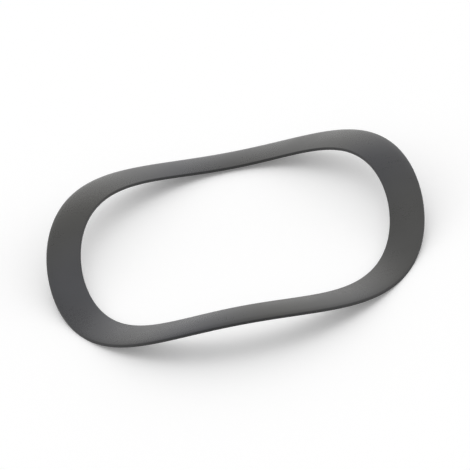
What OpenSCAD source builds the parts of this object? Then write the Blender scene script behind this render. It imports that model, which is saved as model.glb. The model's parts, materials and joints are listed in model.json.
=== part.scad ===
// Wave spring washer, millimetres.
// One flat ring of spring strip, blanked, tumbled so that its long edges are
// rounded, and pressed into even waves. The axis is Z, the troughs rest on
// z = 0, and one crest faces -Y.

/* [Ring] */
// Outside diameter of the ring, true round seen from above
outer_d = 46.5; // [20:0.5:100]
// Width of the strip from the outside to the bore, which is then 38 across
strip_w = 4.25; // [1.5:0.25:8]
// Thickness of the strip, square to its face
strip_t = 0.35; // [0.2:0.05:1]

/* [Wave] */
// Height of the free washer, from the trough faces to the crest faces
free_h = 5; // [1.5:0.1:8]
// Number of crests round the ring
wave_count = 3; // [2:1:6]
// Direction that the first crest faces, in degrees from +X
crest_a = -90; // [-180:5:180]

/* [Edges] */
// Radius that tumbling leaves on the four long edges
edge_r = 0.1; // [0.02:0.01:0.3]

/* [Look] */
// Colour of the blackened spring steel
steel_colour = "#3d3d40"; // color

/* [Hidden] */

// An edge radius takes no more of the thickness than this
edge_limit_share = 0.3;
// The blank that trims the strip runs past its faces by this share of its height
trim_over_share = 0.25;
// Each half wave is drawn in this many steps. A crest and a trough each fall in
// the middle of a step, so that step is one flat, level land.
steps_per_half = 24;
// Half of the angle of one step of an edge's rounding, and the points on it
edge_half_step_a = 22.5;
edge_points = [90, 45];

outer_r = outer_d / 2;
bore_r = outer_r - strip_w;
mean_r = (outer_r + bore_r) / 2;
half_t = strip_t / 2;
edge = min(edge_r, edge_limit_share * strip_t);
stations = 2 * wave_count * steps_per_half;
step_a = 360 / stations;
// The wave is a little over its lands, so that these are free_h apart
amplitude = (free_h - strip_t) / 2 / cos(wave_count * step_a / 2);
trim_over = trim_over_share * free_h;
// The rounding runs on past the blank's walls to a nose, which they cut off
nose = (half_t - edge) * tan(edge_half_step_a);

// Height of the strip's middle at an angle, and how steep it is there
function wave_z(a) = free_h / 2 + amplitude * cos(wave_count * (a - crest_a));
function steepness(a) =
    -wave_count * amplitude * sin(wave_count * (a - crest_a)) / mean_r;
// Upright measure of a unit of thickness that is square to the sloping face
function upright(a) = sqrt(1 + pow(steepness(a), 2));

// The strip's section as [radius, height over its middle], round clockwise
function edge_r_at(p) = edge * (1 - cos(p));
function edge_z_at(p) = half_t - edge * (1 - sin(p));
section = concat(
    [for (p = edge_points) [outer_r - edge_r_at(p), edge_z_at(p)]],
    [[outer_r + nose, 0]],
    [for (i = [len(edge_points) - 1 : -1 : 0])
        [outer_r - edge_r_at(edge_points[i]), -edge_z_at(edge_points[i])]],
    [for (p = edge_points) [bore_r + edge_r_at(p), -edge_z_at(p)]],
    [[bore_r - nose, 0]],
    [for (i = [len(edge_points) - 1 : -1 : 0])
        [bore_r + edge_r_at(edge_points[i]), edge_z_at(edge_points[i])]]
);

function station_a(s) = crest_a + (s + 1 / 2) * step_a;
function station(s) = [
    for (q = section)
        [q[0] * cos(station_a(s)), q[0] * sin(station_a(s)),
         wave_z(station_a(s)) + q[1] * upright(station_a(s))]
];

// The section swept once round the wave
module waved_strip() {
    n = len(section);
    points = [for (s = [0 : stations - 1]) for (q = station(s)) q];
    faces = [
        for (s = [0 : stations - 1]) for (k = [0 : n - 1]) for (half = [0, 1])
            let (s2 = (s + 1) % stations, k2 = (k + 1) % n)
            half == 0 ? [s * n + k, s2 * n + k, s2 * n + k2]
                      : [s * n + k, s2 * n + k2, s * n + k2]
    ];
    polyhedron(points = points, faces = faces, convexity = 6);
}

// The round blank, which gives the bore and the outside their true round walls
module ring_blank() {
    translate([0, 0, -trim_over])
        rotate_extrude($fn = stations)
            translate([bore_r, 0])
                square([strip_w, free_h + 2 * trim_over]);
}

module wave_washer() {
    color(steel_colour)
        intersection() {
            waved_strip();
            ring_blank();
        }
}

wave_washer();
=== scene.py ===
"""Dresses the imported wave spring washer.

Blackened spring strip, pressed into waves, lies on a plain pale studio floor.
"""

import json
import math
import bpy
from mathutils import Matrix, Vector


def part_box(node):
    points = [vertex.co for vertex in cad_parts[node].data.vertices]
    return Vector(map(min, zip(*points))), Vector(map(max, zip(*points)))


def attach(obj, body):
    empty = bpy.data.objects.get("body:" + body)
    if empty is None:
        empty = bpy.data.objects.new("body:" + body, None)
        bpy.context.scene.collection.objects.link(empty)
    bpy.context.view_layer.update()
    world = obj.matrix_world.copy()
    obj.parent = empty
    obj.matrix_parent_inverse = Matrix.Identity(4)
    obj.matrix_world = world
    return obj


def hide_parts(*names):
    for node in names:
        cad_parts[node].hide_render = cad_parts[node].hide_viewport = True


bl_info = {
    "name": "Wave Spring Washer",
    "version": (1, 0, 0),
    "blender": (4, 5, 0),
    "location": "View3D > Sidebar > Washer",
    "description": "Presses a wave spring washer out of spring strip and lights it on a pale floor",
    "category": "Mesh",
}

import bmesh
import bpy
from bpy.props import FloatProperty, FloatVectorProperty, IntProperty, PointerProperty
from mathutils import Quaternion, Vector

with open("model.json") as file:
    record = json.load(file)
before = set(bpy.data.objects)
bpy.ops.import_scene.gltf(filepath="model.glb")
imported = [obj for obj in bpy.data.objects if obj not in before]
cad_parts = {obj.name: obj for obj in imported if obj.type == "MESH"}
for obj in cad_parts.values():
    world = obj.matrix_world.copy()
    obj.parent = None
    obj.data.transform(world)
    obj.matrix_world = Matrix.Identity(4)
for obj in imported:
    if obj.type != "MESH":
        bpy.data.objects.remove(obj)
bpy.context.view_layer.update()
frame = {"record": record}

MM = 0.001
NODE = "wave_washer"
LOW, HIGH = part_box(NODE)
MOUNTS = {m["name"]: m for m in frame["record"]["mounts"]}

OUTSIDE_R = (HIGH.x - LOW.x) / 2
FREE_HEIGHT = HIGH.z - LOW.z
BORE_R = MOUNTS["bore"]["dims"]["r_mm"] * MM
CREST_ANGLE = math.atan2(MOUNTS["crest_front"]["pos_m"][1], MOUNTS["crest_front"]["pos_m"][0])
FULL_TURN = 2 * math.pi

# How the section is drawn
SAME_POINT = 0.001 * MM  # points nearer than this count as one
CORNER_SHARE = 0.999  # a point past this share of the half thickness is a corner
EDGE_SEGMENTS = 5
FACE_CUTS = 19
ROLL_POWER = 10  # the higher, the closer the roll keeps to the rim
SETTLING_ROUNDS = 12  # each round leaves a tenth of the error or less


# ---- selecting and shaping ----


def deselect_all():
    for o in bpy.context.selected_objects:
        o.select_set(False)


def edit(piece):
    """The piece's mesh, open in edit mode with nothing selected."""
    bpy.context.view_layer.objects.active = piece
    bpy.ops.object.mode_set(mode="EDIT")
    bpy.ops.mesh.select_mode(type="VERT")
    bpy.ops.mesh.select_all(action="DESELECT")
    return bmesh.from_edit_mesh(piece.data)


def select_only(parts):
    bpy.ops.mesh.select_all(action="DESELECT")
    for part in parts:
        part.select_set(True)


def pick(mesh, wanted, kind="verts"):
    """Selects the vertices or edges for which wanted is true, and nothing else."""
    select_only(part for part in getattr(mesh, kind) if wanted(part))
    mesh.select_flush_mode()


# ---- shader maths ----


class Value:
    """A number socket. A sum on it adds the Math node that works the sum out."""

    def __init__(self, sheet, socket):
        self.sheet, self.socket = sheet, socket

    def _math(self, operation, *terms):
        return self.sheet.value("ShaderNodeMath", dict(enumerate(terms)), operation=operation)

    def __add__(self, other):
        return self._math("ADD", self, other)

    def __radd__(self, other):
        return self._math("ADD", other, self)

    def __sub__(self, other):
        return self._math("SUBTRACT", self, other)

    def __rsub__(self, other):
        return self._math("SUBTRACT", other, self)

    def __mul__(self, other):
        return self._math("MULTIPLY", self, other)

    def __rmul__(self, other):
        return self._math("MULTIPLY", other, self)

    def least(self, other):
        return self._math("MINIMUM", self, other)

    def most(self, other):
        return self._math("MAXIMUM", self, other)

    def ease(self, start, end):
        """0 before start, 1 after end, and smooth between."""
        return self.sheet.value(
            "ShaderNodeMapRange",
            {"Value": self, "From Min": start, "From Max": end},
            interpolation_type="SMOOTHSTEP",
        )


class Sheet:
    """A node tree. One method makes every node: its settings come first, then its sockets."""

    def __init__(self, tree):
        self.tree = tree
        tree.nodes.clear()

    def node(self, kind, sockets=None, stops=None, **settings):
        node = self.tree.nodes.new(kind)
        for name, setting in settings.items():
            setattr(node, name, setting)
        if stops:
            ramp = node.color_ramp
            for i, (place, colour) in enumerate(stops):
                stop = ramp.elements[i] if i < len(ramp.elements) else ramp.elements.new(place)
                stop.position, stop.color = place, (*colour, 1.0)
        for name, value in (sockets or {}).items():
            value = getattr(value, "socket", value)
            if isinstance(value, bpy.types.NodeSocket):
                self.tree.links.new(value, node.inputs[name])
            else:
                node.inputs[name].default_value = value
        return node

    def value(self, kind, sockets=None, out=0, **settings):
        return Value(self, self.node(kind, sockets, **settings).outputs[out])

    def blend_colours(self, factor, low, high):
        """Factor 0 gives the low colour and 1 the high one."""
        mix = self.node(
            "ShaderNodeMix",
            {0: factor, 6: opaque(low), 7: opaque(high)},
            data_type="RGBA",
        )
        return mix.outputs[2]

    def noise(self, place, scale, detail, roughness):
        return self.value(
            "ShaderNodeTexNoise",
            {"Vector": place, "Scale": scale, "Detail": detail, "Roughness": roughness},
        )


def opaque(colour):
    return colour if isinstance(colour, bpy.types.NodeSocket) else (*colour[:3], 1.0)


def new_sheet(name):
    material = bpy.data.materials.new(name)
    material.use_nodes = True
    return material, Sheet(material.node_tree)


# ---- finishes ----

# Each scale is about how many times its pattern repeats in a metre
LINES_SCALE = 5200.0
GRAIN_SCALE = 9000.0
CLOUDS_SCALE = 120.0
CAST_SCALE = 45.0
LINES_STRETCH = (0.03, 1.0, 1.0)  # a small number draws the lines out along X
NOISE_MIDDLE = 0.5

# The noise levels between which a pattern goes from none to full
SOFT_START, SOFT_END = 0.3, 0.7
CAST_START, CAST_END = 0.35, 0.65

# How much each pattern adds to the oxide's colour, its roughness and its height
CLOUDS_COLOUR, GRAIN_COLOUR, LINES_COLOUR = 0.55, 0.3, 0.15
CLOUDS_DULL, LINES_DULL, GRAIN_DULL, RIM_DULL = 0.10, 0.06, 0.08, 0.16
GRAIN_HEIGHT, LINES_HEIGHT = 0.6, 0.4
CAST_STRENGTH = 0.75
BUMP_STRENGTH, BUMP_DEPTH = 0.4, 0.004 * MM

# The band of painted shade at each rim, a darker colour that stands in for the shade on the rounded
# edges and walls, and how the grain breaks it up
RIM_BAND = 0.2 * MM
RIM_LEAST, RIM_GRAIN = 0.8, 0.4


def blackened_spring_steel(look):
    """Cold-rolled strip with a satin black oxide: faint rolling lines, fine grain, soft clouds."""
    material, sheet = new_sheet("blackened_spring_steel")
    place = sheet.node("ShaderNodeTexCoord").outputs["Object"]

    # Rolling lines run straight across the whole washer, as they did in the strip
    drawn_out = sheet.node("ShaderNodeMapping", {"Vector": place, "Scale": LINES_STRETCH})
    lines = sheet.noise(drawn_out.outputs[0], LINES_SCALE, 3.0, 0.6)
    grain = sheet.noise(place, GRAIN_SCALE, 3.0, 0.65).ease(SOFT_START, SOFT_END)

    # The oxide: soft clouds over the steel's grain, and an olive cast that comes and goes
    clouds = sheet.noise(place, CLOUDS_SCALE, 3.0, 0.55).ease(SOFT_START, SOFT_END)
    cast = sheet.noise(place, CAST_SCALE, 1.0, 0.4).ease(CAST_START, CAST_END)
    mottle = CLOUDS_COLOUR * clouds + GRAIN_COLOUR * grain + LINES_COLOUR * lines
    oxide = sheet.blend_colours(mottle, look.oxide_dark, look.oxide_light)
    tint = sheet.blend_colours(cast * CAST_STRENGTH, oxide, look.oxide_warm)

    # Painted shade on the sheared and tumbled rims: their colour is blended towards a dark one that
    # stands in for the shade on their rounded edges and walls, and they are made duller
    flat = sheet.node("ShaderNodeVectorMath", {0: place, 1: (1.0, 1.0, 0.0)}, operation="MULTIPLY")
    across = sheet.value("ShaderNodeVectorMath", {0: flat.outputs[0]}, out=1, operation="LENGTH")
    outer_rim = across.ease(OUTSIDE_R - RIM_BAND, OUTSIDE_R)
    bore_rim = 1.0 - across.ease(BORE_R, BORE_R + RIM_BAND)
    rim = (outer_rim + bore_rim).least(1.0)
    rim_shade_and_dullness = rim * (RIM_LEAST + RIM_GRAIN * grain)
    colour = sheet.blend_colours(rim_shade_and_dullness * look.rim_shade_depth, tint, look.painted_rim_shade)

    dull = (
        look.gloss
        + CLOUDS_DULL * (clouds - NOISE_MIDDLE)
        + LINES_DULL * (lines - NOISE_MIDDLE)
        + GRAIN_DULL * (grain - NOISE_MIDDLE)
        + RIM_DULL * rim_shade_and_dullness
    )
    height = GRAIN_HEIGHT * grain + LINES_HEIGHT * lines
    bump = sheet.node(
        "ShaderNodeBump",
        {"Height": height, "Strength": BUMP_STRENGTH, "Distance": BUMP_DEPTH},
    )
    shader = sheet.node(
        "ShaderNodeBsdfPrincipled",
        {
            "Base Color": colour,
            "Metallic": look.metallic,
            "Roughness": dull,
            "Normal": bump.outputs[0],
        },
    )
    sheet.node("ShaderNodeOutputMaterial", {"Surface": shader.outputs[0]})
    return material


def pale_floor(look):
    """A matt floor. The camera and the steel's gloss see it a little brighter, as white."""
    material, sheet = new_sheet("pale_floor")
    rays = sheet.node("ShaderNodeLightPath").outputs
    seen = Value(sheet, rays["Is Camera Ray"]).most(Value(sheet, rays["Is Glossy Ray"]))
    colour = opaque(look.floor_colour)
    matt = sheet.node("ShaderNodeBsdfDiffuse", {"Color": colour})
    lift = sheet.node("ShaderNodeEmission", {"Color": colour, "Strength": seen * look.floor_lift})
    both = sheet.node("ShaderNodeAddShader", {0: matt.outputs[0], 1: lift.outputs[0]})
    sheet.node("ShaderNodeOutputMaterial", {"Surface": both.outputs[0]})
    return material


# ---- what a user may change ----


class WasherSizes(bpy.types.PropertyGroup):
    """Sizes of the washer. The outside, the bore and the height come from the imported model."""

    outside_r: FloatProperty(
        name="Outside radius",
        description="Radius of the ring's outer rim",
        default=OUTSIDE_R,
        unit="LENGTH",
        precision=5,
    )
    bore_r: FloatProperty(
        name="Bore radius",
        description="Radius of the ring's bore",
        default=BORE_R,
        unit="LENGTH",
        precision=5,
    )
    free_height: FloatProperty(
        name="Free height",
        description="Height from the trough faces to the crest faces, with no load",
        default=FREE_HEIGHT,
        unit="LENGTH",
        precision=5,
    )
    thickness: FloatProperty(
        name="Strip thickness",
        description="Thickness of the strip, square to its face",
        default=0.35 * MM,
        unit="LENGTH",
        precision=5,
    )
    roll_r: FloatProperty(
        name="Top edge radius",
        description="Rounding of the two upper edges",
        default=0.11 * MM,
        unit="LENGTH",
        precision=5,
    )
    break_r: FloatProperty(
        name="Bottom edge radius",
        description="Rounding of the two lower edges",
        default=0.08 * MM,
        unit="LENGTH",
        precision=5,
    )
    crown: FloatProperty(
        name="Crown",
        description="How far the strip's middle stands above its two edges, as blanking leaves it",
        default=0.18 * MM,
        unit="LENGTH",
        precision=5,
    )
    rim_roll: FloatProperty(
        name="Rim roll",
        description="How far the outer rim rolls down past the crown, as blanking leaves it",
        default=0.08 * MM,
        unit="LENGTH",
        precision=5,
    )
    bore_wave: FloatProperty(
        name="Wave at the bore",
        description="Height of the wave at the bore, as a share of its height at the outer rim",
        default=0.845,
        min=0.5,
        max=1,
        subtype="FACTOR",
    )
    waves: IntProperty(
        name="Waves", description="Number of crests round the ring", default=3, min=1
    )
    steps_per_half: IntProperty(
        name="Steps in a half wave",
        description="Steps from a crest to the next trough",
        default=60,
        min=4,
    )


class WasherLook(bpy.types.PropertyGroup):
    """Colours and finish of the strip and the floor."""

    oxide_dark: FloatVectorProperty(
        name="Oxide, dark",
        description="The oxide where it is thick",
        subtype="COLOR",
        default=(0.0270, 0.0278, 0.0328),
    )
    oxide_light: FloatVectorProperty(
        name="Oxide, light",
        description="The oxide where it is thin",
        subtype="COLOR",
        default=(0.0425, 0.0435, 0.0502),
    )
    oxide_warm: FloatVectorProperty(
        name="Oxide, warm",
        description="The olive cast that comes and goes in the oxide",
        subtype="COLOR",
        default=(0.0430, 0.0415, 0.0335),
    )
    # Painted shade: the dark colour that the rims are blended towards, in place of the shade on
    # their rounded edges and walls
    painted_rim_shade: FloatVectorProperty(
        name="Painted rim shade",
        description="The painted shade on the sheared rims",
        subtype="COLOR",
        default=(0.012, 0.012, 0.013),
    )
    # How far the rims are blended towards the painted rim shade
    rim_shade_depth: FloatProperty(
        name="Rim depth",
        description="How far the rims are darkened",
        default=0.8,
        min=0,
        max=1,
        subtype="FACTOR",
    )
    gloss: FloatProperty(
        name="Roughness",
        description="Middle roughness of the strip",
        default=0.31,
        min=0,
        max=1,
        subtype="FACTOR",
    )
    metallic: FloatProperty(
        name="Metallic",
        description="How metallic the finish is",
        default=0.0,
        min=0,
        max=1,
        subtype="FACTOR",
    )
    floor_colour: FloatVectorProperty(
        name="Floor",
        description="Colour of the floor",
        subtype="COLOR",
        default=(0.90, 0.90, 0.90),
    )
    floor_lift: FloatProperty(
        name="Floor lift",
        description="How much brighter the camera and the steel's gloss see the floor",
        default=0.17,
        min=0,
    )


class WasherView(bpy.types.PropertyGroup):
    """Where the camera stands."""

    azimuth: FloatProperty(
        name="Azimuth",
        description="Camera's turn round the washer",
        default=math.radians(4.0),
        subtype="ANGLE",
    )
    elevation: FloatProperty(
        name="Elevation",
        description="Camera's height over the washer's plane",
        default=math.radians(31.7),
        subtype="ANGLE",
    )
    roll: FloatProperty(
        name="Roll",
        description="How far the picture of the washer is turned",
        default=math.radians(12.9),
        subtype="ANGLE",
    )
    distance: FloatProperty(
        name="Distance", description="Camera to washer", default=1.6, unit="LENGTH"
    )
    view_width: FloatProperty(
        name="View width",
        description="Width that the view takes in at the washer",
        default=57.0 * MM,
        unit="LENGTH",
        precision=4,
    )
    lift: FloatProperty(
        name="Aim",
        description="How far above the ring's centre, in the picture, the camera aims",
        default=0.25 * MM,
        unit="LENGTH",
        precision=5,
    )


# ---- the washer ----


class MESH_OT_wave_washer(bpy.types.Operator):
    """Cut a ring of strip with rounded edges and press it into waves"""

    bl_idname = "mesh.wave_washer_press"
    bl_label = "Wave Washer"
    bl_options = {"REGISTER", "UNDO"}

    def execute(self, context):
        size, look = context.scene.washer_sizes, context.scene.washer_look
        width = size.outside_r - size.bore_r
        middle_r = (size.outside_r + size.bore_r) / 2
        ring = self.section(width, size.thickness, middle_r)
        self.round_edges(ring, size)
        self.line_up_face_loops(ring, size, width, middle_r)
        self.crown_section(ring, size, width, middle_r)
        rise, middle_z = self.settle(ring, size)
        self.turn(ring, size)
        self.press(ring, size, middle_r, rise, middle_z)
        bpy.ops.object.shade_smooth()
        ring.data.materials.append(blackened_spring_steel(look))
        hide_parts(NODE)
        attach(ring, "root")
        return {"FINISHED"}

    def section(self, width, thickness, middle_r):
        """The strip's section, standing up on the +X axis."""
        deselect_all()
        upright = (math.pi / 2, 0, 0)
        bpy.ops.mesh.primitive_plane_add(size=1.0, location=(middle_r, 0, 0), rotation=upright)
        ring = bpy.context.object
        ring.name = ring.data.name = "waved_ring"
        ring.scale = (width, thickness, 1.0)
        bpy.ops.object.transform_apply(location=True, rotation=True, scale=True)
        return ring

    def round_edges(self, ring, size):
        """Rounds the section's four corners and drops its face, so that its outline is left."""
        mesh = edit(ring)
        corner_z = size.thickness / 2 * CORNER_SHARE
        for upper, radius in ((True, size.roll_r), (False, size.break_r)):
            pick(mesh, lambda v: (v.co.z > corner_z) if upper else (v.co.z < -corner_z))
            bpy.ops.mesh.bevel(
                offset=radius,
                offset_type="OFFSET",
                segments=EDGE_SEGMENTS,
                profile=0.5,
                affect="VERTICES",
            )
            mesh = bmesh.from_edit_mesh(ring.data)
        bpy.ops.mesh.select_all(action="SELECT")
        bpy.ops.mesh.delete(type="ONLY_FACE")
        bpy.ops.object.mode_set(mode="OBJECT")

    def line_up_face_loops(self, ring, size, width, middle_r):
        """Divides the two long faces.

        The end points are drawn out to the rounded edges, so that these shade cleanly.
        """
        mesh = edit(ring)
        bpy.ops.mesh.select_mode(type="EDGE")
        pick(mesh, lambda e: e.calc_length() > width / 2, "edges")
        bpy.ops.mesh.subdivide(number_cuts=FACE_CUTS)
        bpy.ops.mesh.select_mode(type="VERT")
        mesh = bmesh.from_edit_mesh(ring.data)
        for side in (1, -1):
            for upper, radius in ((True, size.roll_r), (False, size.break_r)):
                face_end = width / 2 - radius
                step = 2 * face_end / (FACE_CUTS + 1)
                first = middle_r + side * (face_end - step)
                pick(mesh, lambda v: abs(v.co.x - first) < step / 4 and (v.co.z > 0) == upper)
                bpy.ops.transform.translate(value=(side * (step - radius / 2), 0, 0))
        bpy.ops.object.mode_set(mode="OBJECT")

    def crown_section(self, ring, size, width, middle_r):
        """Bows the section, so its middle stands above its edges, and rolls the outer rim down."""
        mesh = edit(ring)
        columns = {}
        for v in mesh.verts:
            columns.setdefault(round((v.co.x - middle_r) / SAME_POINT), []).append(v)
        for column in columns.values():
            select_only(column)
            across = (column[0].co.x - middle_r) / (width / 2)
            roll = size.rim_roll * max(across, 0) ** ROLL_POWER
            bpy.ops.transform.translate(value=(0, 0, -size.crown * across**2 - roll))
        bpy.ops.object.mode_set(mode="OBJECT")

    def wave_share(self, size, r):
        """Height of the wave at a radius, as a share of its height at the outer rim."""
        return 1 - (1 - size.bore_wave) * (size.outside_r - r) / (size.outside_r - size.bore_r)

    def settle(self, ring, size):
        """What it takes to reach the free height with the troughs at 0.

        How far the outer rim rises and falls from its middle, and how high that stands.
        """
        points = [(v.co.z, self.wave_share(size, v.co.x)) for v in ring.data.vertices]
        rise = size.free_height / 2
        for _ in range(SETTLING_ROUNDS):
            top = max(z + rise * share for z, share in points)
            low = min(z - rise * share for z, share in points)
            rise -= (top - low - size.free_height) / 2
        return rise, -low

    def turn(self, ring, size):
        """Turns the section once round the axis."""
        edit(ring)
        bpy.ops.mesh.select_all(action="SELECT")
        steps = 2 * size.waves * size.steps_per_half
        bpy.ops.mesh.spin(steps=steps, angle=FULL_TURN, center=(0, 0, 0), axis=(0, 0, 1))
        bpy.ops.mesh.select_all(action="SELECT")
        bpy.ops.mesh.remove_doubles(threshold=SAME_POINT)
        bpy.ops.mesh.normals_make_consistent(inside=False)
        bpy.ops.object.mode_set(mode="OBJECT")

    def press(self, ring, size, middle_r, rise, middle_z):
        """Presses the flat ring into waves, and keeps its thickness square to its slope."""
        mesh = edit(ring)
        wave = FULL_TURN / size.waves
        step = wave / 2 / size.steps_per_half
        levels = {}
        for v in mesh.verts:
            turned = (math.atan2(v.co.y, v.co.x) - CREST_ANGLE) % wave
            levels.setdefault(round(min(turned, wave - turned) / step), []).append(v)
        steepest = size.waves * rise * self.wave_share(size, middle_r) / middle_r
        for level, row in levels.items():
            select_only(row)
            slope = steepest * math.sin(size.waves * level * step)
            upright = math.sqrt(1 + slope**2)
            bpy.ops.transform.resize(value=(1, 1, upright), center_override=(0, 0, 0))
        bpy.ops.object.mode_set(mode="OBJECT")

        ring.location.z = middle_z - rise
        bpy.ops.object.transform_apply(location=True, rotation=False, scale=False)
        lift = ring.vertex_groups.new(name="lift")
        for v in ring.data.vertices:
            turned = math.atan2(v.co.y, v.co.x) - CREST_ANGLE
            share = self.wave_share(size, math.hypot(v.co.x, v.co.y))
            lift.add([v.index], (1 + share * math.cos(size.waves * turned)) / 2, "REPLACE")
        bpy.ops.object.modifier_add(type="DISPLACE")
        press = ring.modifiers[-1]
        press.direction, press.mid_level, press.strength = "Z", 0.0, 2 * rise
        press.vertex_group = lift.name
        bpy.ops.object.modifier_apply(modifier=press.name)
        ring.vertex_groups.clear()


# ---- the stage ----

FLOOR_SIZE = 6.0
CLIP_START, CLIP_END = 0.05, 20.0
BLACK, WHITE = (0.0, 0.0, 0.0), (1.0, 1.0, 1.0)

# The studio's light by height, from level at 0 to overhead at 1, where white is 1
SKY_LIGHT = ((0.0, 1.45), (0.52, 1.45), (0.7, 0.98), (0.88, 0.98), (0.97, 1.6))

# The left-hand wall's share of that light, and what the right-hand wall has over it
LEFT_WALL, RIGHT_WALL_OVER = 0.76, 0.24

# The open side's share, what the closed sides have over it, and where one passes into the
# other, from -1 straight behind the camera
OPEN_SIDE, CLOSED_SIDE_OVER = 0.3, 0.7
OPEN_END, CLOSED_START = -0.85, -0.15


class SCENE_OT_washer_stage(bpy.types.Operator):
    """Set the pale floor, the soft light and the camera"""

    bl_idname = "scene.washer_stage"
    bl_label = "Washer Stage"
    bl_options = {"REGISTER", "UNDO"}

    def execute(self, context):
        look, view = context.scene.washer_look, context.scene.washer_view
        self.floor(look)
        self.sky(context.scene)
        self.camera(context.scene, view)
        context.scene.view_settings.view_transform = "Standard"
        return {"FINISHED"}

    def floor(self, look):
        deselect_all()
        bpy.ops.mesh.primitive_plane_add(size=FLOOR_SIZE, location=(0, 0, LOW.z))
        floor = bpy.context.object
        floor.name = floor.data.name = "floor"
        bpy.ops.object.transform_apply(location=True, rotation=True, scale=True)
        floor.data.materials.append(pale_floor(look))

    def sky(self, scene):
        """A soft studio: bright walls, a dimmer band over them and a bright patch overhead.

        The right-hand wall is the brighter one, and the side behind the camera is open and dim.
        The camera itself sees plain white past the floor.
        """
        world = bpy.data.worlds.new("studio")
        scene.world = world
        world.use_nodes = True
        sheet = Sheet(world.node_tree)
        way = sheet.node("ShaderNodeTexCoord").outputs["Generated"]
        parts = sheet.node("ShaderNodeSeparateXYZ", {0: way})
        walls = sheet.node(
            "ShaderNodeValToRGB",
            {0: parts.outputs["Z"]},
            stops=[(height, (light, light, light)) for height, light in SKY_LIGHT],
        )
        # From 0 at the left to 1 at the right
        right = Value(sheet, parts.outputs["X"]) * 0.5 + 0.5
        closed = Value(sheet, parts.outputs["Y"]).ease(OPEN_END, CLOSED_START)
        share = (LEFT_WALL + RIGHT_WALL_OVER * right) * (OPEN_SIDE + CLOSED_SIDE_OVER * closed)
        dimmed = sheet.blend_colours(share, BLACK, walls.outputs[0])
        rays = sheet.node("ShaderNodeLightPath")
        colour = sheet.blend_colours(rays.outputs["Is Camera Ray"], dimmed, WHITE)
        light = sheet.node("ShaderNodeBackground", {"Color": colour, "Strength": 1.0})
        sheet.node("ShaderNodeOutputWorld", {"Surface": light.outputs[0]})

    def camera(self, scene, view):
        back = Vector(
            (
                math.sin(view.azimuth) * math.cos(view.elevation),
                -math.cos(view.azimuth) * math.cos(view.elevation),
                math.sin(view.elevation),
            )
        )
        aim = (-back).to_track_quat("-Z", "Y") @ Quaternion((0, 0, 1), -view.roll)
        centre = (LOW + HIGH) / 2 + aim @ Vector((0, view.lift, 0))
        deselect_all()
        bpy.ops.object.camera_add(location=centre + back * view.distance)
        camera = bpy.context.object
        camera.name = camera.data.name = "camera"
        camera.rotation_mode = "QUATERNION"
        camera.rotation_quaternion = aim
        camera.data.lens = camera.data.sensor_width * view.distance / view.view_width
        camera.data.clip_start, camera.data.clip_end = CLIP_START, CLIP_END
        scene.camera = camera


class VIEW3D_PT_washer(bpy.types.Panel):
    """Lists the washer's sizes, its look, its view and its two operators"""

    bl_label = "Wave Spring Washer"
    bl_idname = "VIEW3D_PT_washer"
    bl_space_type = "VIEW_3D"
    bl_region_type = "UI"
    bl_category = "Washer"

    def draw(self, context):
        scene = context.scene
        for group in (scene.washer_sizes, scene.washer_look, scene.washer_view):
            box = self.layout.box()
            for name in group.bl_rna.properties.keys():
                if name not in ("rna_type", "name"):
                    box.prop(group, name)
        self.layout.operator(MESH_OT_wave_washer.bl_idname)
        self.layout.operator(SCENE_OT_washer_stage.bl_idname)


GROUPS = {"washer_sizes": WasherSizes, "washer_look": WasherLook, "washer_view": WasherView}
CLASSES = (*GROUPS.values(), MESH_OT_wave_washer, SCENE_OT_washer_stage, VIEW3D_PT_washer)


def register():
    for cls in CLASSES:
        bpy.utils.register_class(cls)
    for name, group in GROUPS.items():
        setattr(bpy.types.Scene, name, PointerProperty(type=group))


def unregister():
    for name in GROUPS:
        delattr(bpy.types.Scene, name)
    for cls in reversed(CLASSES):
        bpy.utils.unregister_class(cls)


def main():
    register()
    bpy.ops.mesh.wave_washer_press()
    bpy.ops.scene.washer_stage()


if __name__ == "__main__":
    main()
